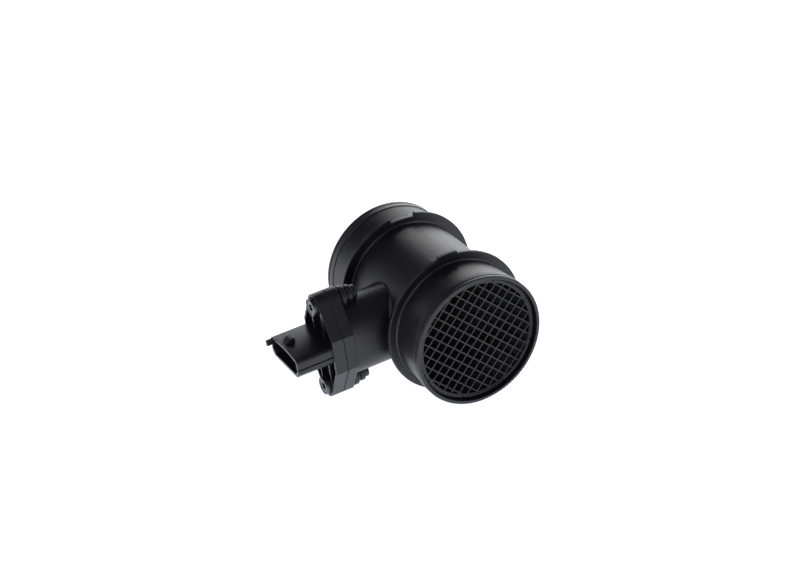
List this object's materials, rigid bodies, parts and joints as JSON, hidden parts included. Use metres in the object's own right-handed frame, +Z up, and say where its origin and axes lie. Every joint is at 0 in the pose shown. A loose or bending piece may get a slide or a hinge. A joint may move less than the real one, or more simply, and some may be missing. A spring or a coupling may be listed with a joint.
{
  "type": "mass airflow sensor",
  "caption": "Plastic duct section with a square-celled inlet grid and a screwed-in plug-in sensor that measures an engine's intake air.",
  "frame": {"origin": "where the duct axis meets the plug-in sensor's plane of the neck, in the middle of the duct", "axes": "+Y along the duct from inlet to outlet, the neck and the connector towards -X, +Z up"},
  "size_m": [0.1436, 0.1105, 0.0885],
  "materials": {
    "housing_plastic": "black glass-filled moulding, fine satin grain",
    "grid_plastic": "black moulding, satin",
    "sensor_plastic": "black glass-filled moulding, satin",
    "cover_plastic": "black moulding, satin",
    "plate_metal": "rolled, plain",
    "board_laminate": "green solder mask",
    "chip_package": "moulded package",
    "capacitor_ceramic": "fired ceramic",
    "resistor_film": "glazed film",
    "sensor_silicon": "polished silicon",
    "seal_rubber": "plain",
    "bead_glass": "dark glass bead",
    "screw_steel": "dark coated steel, slight sheen",
    "contact_plating": "tin plated"
  },
  "bodies": {
    "root": {"housing": "housing_plastic", "inlet_grid": "grid_plastic", "sensor_body": "sensor_plastic", "electronics_cover": "cover_plastic", "channel_cover": "cover_plastic", "base_plate": "plate_metal", "circuit_board": "board_laminate", "processor_chip": "chip_package", "filter_capacitor_1": "capacitor_ceramic", "filter_capacitor_2": "capacitor_ceramic", "trim_resistor": "resistor_film", "sensor_chip": "sensor_silicon", "seal_ring": "seal_rubber", "air_temperature_sensor": "bead_glass", "screw_upper": "screw_steel", "screw_lower": "screw_steel", "contact_pin_1": "contact_plating", "contact_pin_2": "contact_plating", "contact_pin_3": "contact_plating", "contact_pin_4": "contact_plating", "contact_pin_5": "contact_plating"}
  },
  "joints": []
}
